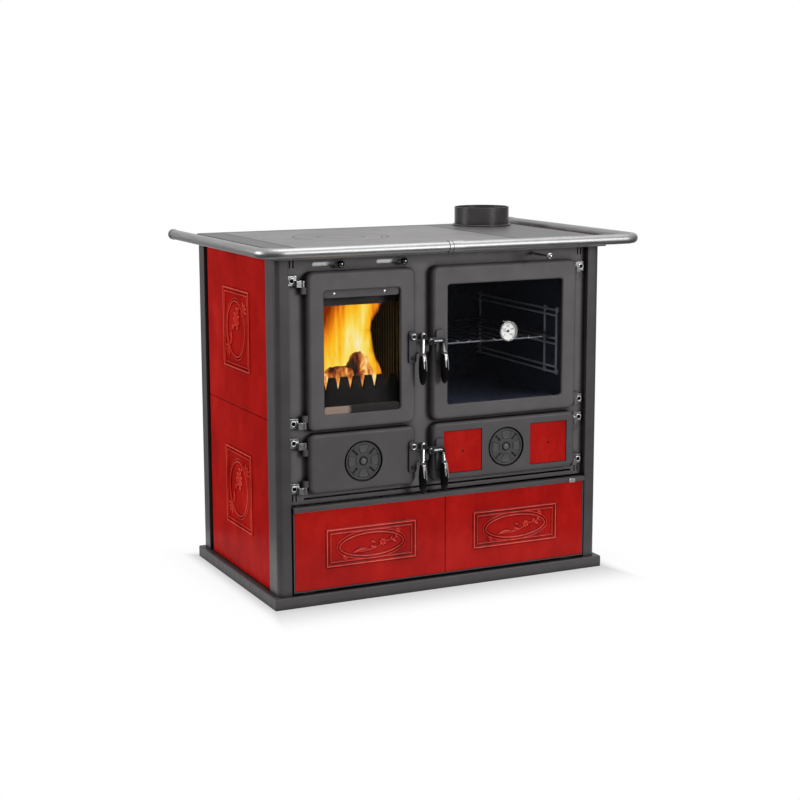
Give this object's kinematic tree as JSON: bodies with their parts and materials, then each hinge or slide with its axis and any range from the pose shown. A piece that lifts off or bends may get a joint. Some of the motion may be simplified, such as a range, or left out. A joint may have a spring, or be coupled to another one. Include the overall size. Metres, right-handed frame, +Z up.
{
  "type": "wood cookstove",
  "caption": "Freestanding wood-burning cookstove with glazed firebox and oven doors, ash and warming doors, air registers, red relief tiles, wood drawer, hob and towel rail.",
  "frame": {"origin": "on the floor, under the middle of the overall box", "axes": "+Z up, the front faces -Y, +X to the right of someone facing the front"},
  "size_m": [1.025, 0.68, 0.913],
  "materials": {
    "charcoal_steel": "satin charcoal paint",
    "charcoal_iron": "matt charcoal cast iron",
    "hob_iron": "ground grey cast iron",
    "fire_iron": "sooted cast iron",
    "red_tile": "glossy red glaze",
    "sheet_steel": "plain sheet steel",
    "dark_sheet": "dark enamelled sheet",
    "rail_steel": "satin tube",
    "bright_steel": "bright zinc plating",
    "chrome": "polished",
    "wire": "bright wire",
    "black_grip": "glossy black",
    "fire_glass": "clear ceramic glass",
    "oven_pane": "smoked glass",
    "rope": "woven rope",
    "dial": "white dial in a bright bezel",
    "needle": "matt black"
  },
  "bodies": {
    "stove": {"plinth": "charcoal_steel", "front_posts": "charcoal_steel", "rear_posts": "charcoal_steel", "rear_panel": "sheet_steel", "side_panels": "sheet_steel", "side_tiles": "red_tile", "stove_floor": "sheet_steel", "facade": "charcoal_steel", "hinge_brackets": "bright_steel", "hinge_bolts": "charcoal_steel", "door_catches": "charcoal_steel", "hearth_plate": "fire_iron", "fire_grate": "fire_iron", "firebox_lining": "fire_iron", "fire_fence": "fire_iron", "ash_pan": "dark_sheet", "oven_box": "dark_sheet", "oven_rack_guides": "wire", "oven_rack": "wire", "hob_frame": "hob_iron", "hob_plate": "hob_iron", "flue_collar": "charcoal_iron", "rail_left": "rail_steel", "rail_right": "rail_steel", "rail_fittings": "bright_steel", "drawer_runners": "sheet_steel"},
    "firebox_door": {"firebox_door": "charcoal_iron", "firebox_glass": "fire_glass", "firebox_glass_strip": "charcoal_steel", "firebox_door_gasket": "rope", "firebox_handle_bracket": "charcoal_iron"},
    "firebox_handle": {"firebox_handle_lever": "chrome", "firebox_handle_grip": "black_grip"},
    "ash_door": {"ash_door": "charcoal_iron", "ash_handle_bracket": "charcoal_iron"},
    "ash_handle": {"ash_handle_lever": "chrome", "ash_handle_grip": "black_grip"},
    "ash_register": {"ash_register": "charcoal_iron"},
    "oven_door": {"oven_door": "charcoal_iron", "oven_glass": "oven_pane", "oven_thermometer": "dial", "oven_handle_bracket": "charcoal_iron"},
    "oven_handle": {"oven_handle_lever": "chrome", "oven_handle_grip": "black_grip"},
    "thermometer_needle": {"thermometer_needle": "needle"},
    "lower_door": {"lower_door": "charcoal_iron", "lower_door_tiles": "red_tile", "lower_handle_bracket": "charcoal_iron"},
    "lower_handle": {"lower_handle_lever": "chrome", "lower_handle_grip": "black_grip"},
    "lower_register": {"lower_register": "charcoal_iron"},
    "air_slider_left": {"air_slider_left": "bright_steel"},
    "air_slider_right": {"air_slider_right": "bright_steel"},
    "smoke_rod": {"smoke_rod": "bright_steel"},
    "drawer": {"drawer_front": "charcoal_steel", "drawer_tiles": "red_tile", "drawer_box": "sheet_steel", "drawer_latch": "bright_steel"},
    "hob_ring": {"hob_ring": "hob_iron"},
    "hob_disc": {"hob_disc": "hob_iron"}
  },
  "joints": [
    {"name": "firebox_door_hinge", "type": "hinge", "parent": "stove", "child": "firebox_door", "pos_m": [-0.369, -0.225, 0.6165], "axis": [0, 0, 1], "range_deg": [-100, 0]},
    {"name": "ash_door_hinge", "type": "hinge", "parent": "stove", "child": "ash_door", "pos_m": [-0.369, -0.225, 0.3465], "axis": [0, 0, 1], "range_deg": [-100, 0]},
    {"name": "oven_door_hinge", "type": "hinge", "parent": "stove", "child": "oven_door", "pos_m": [0.379, -0.225, 0.6165], "axis": [0, 0, 1], "range_deg": [0, 100]},
    {"name": "lower_door_hinge", "type": "hinge", "parent": "stove", "child": "lower_door", "pos_m": [0.379, -0.225, 0.3465], "axis": [0, 0, 1], "range_deg": [0, 100]},
    {"name": "firebox_handle_pivot", "type": "hinge", "parent": "firebox_door", "child": "firebox_handle", "pos_m": [-0.066, -0.249, 0.639], "axis": [0, 1, 0], "range_deg": [0, 50]},
    {"name": "ash_handle_pivot", "type": "hinge", "parent": "ash_door", "child": "ash_handle", "pos_m": [-0.066, -0.249, 0.369], "axis": [0, 1, 0], "range_deg": [0, 50]},
    {"name": "oven_handle_pivot", "type": "hinge", "parent": "oven_door", "child": "oven_handle", "pos_m": [-0.046, -0.249, 0.625], "axis": [0, 1, 0], "range_deg": [-50, 0]},
    {"name": "lower_handle_pivot", "type": "hinge", "parent": "lower_door", "child": "lower_handle", "pos_m": [-0.046, -0.249, 0.355], "axis": [0, 1, 0], "range_deg": [-50, 0]},
    {"name": "ash_register_turn", "type": "hinge", "parent": "ash_door", "child": "ash_register", "pos_m": [-0.221, -0.236, 0.3435], "axis": [0, 1, 0], "range_deg": [0, 45]},
    {"name": "lower_register_turn", "type": "hinge", "parent": "lower_door", "child": "lower_register", "pos_m": [0.172, -0.236, 0.3435], "axis": [0, 1, 0], "range_deg": [0, 45]},
    {"name": "thermometer_needle_turn", "type": "hinge", "parent": "oven_door", "child": "thermometer_needle", "pos_m": [0.178, -0.232, 0.6345], "axis": [0, 1, 0], "range_deg": [-30, 210]},
    {"name": "air_slider_left_slide", "type": "slide", "parent": "stove", "child": "air_slider_left", "axis": [-1, 0, 0], "range_m": [0, 0.054]},
    {"name": "air_slider_right_slide", "type": "slide", "parent": "stove", "child": "air_slider_right", "axis": [-1, 0, 0], "range_m": [0, 0.054]},
    {"name": "smoke_rod_push", "type": "slide", "parent": "stove", "child": "smoke_rod", "axis": [0, 1, 0], "range_m": [0, 0.08]},
    {"name": "drawer_slide", "type": "slide", "parent": "stove", "child": "drawer", "axis": [0, -1, 0], "range_m": [0, 0.4]},
    {"name": "hob_ring_lift", "type": "slide", "parent": "stove", "child": "hob_ring", "axis": [0, 0, 1], "range_m": [0, 0.12]},
    {"name": "hob_disc_lift", "type": "slide", "parent": "hob_ring", "child": "hob_disc", "axis": [0, 0, 1], "range_m": [0, 0.12]}
  ]
}
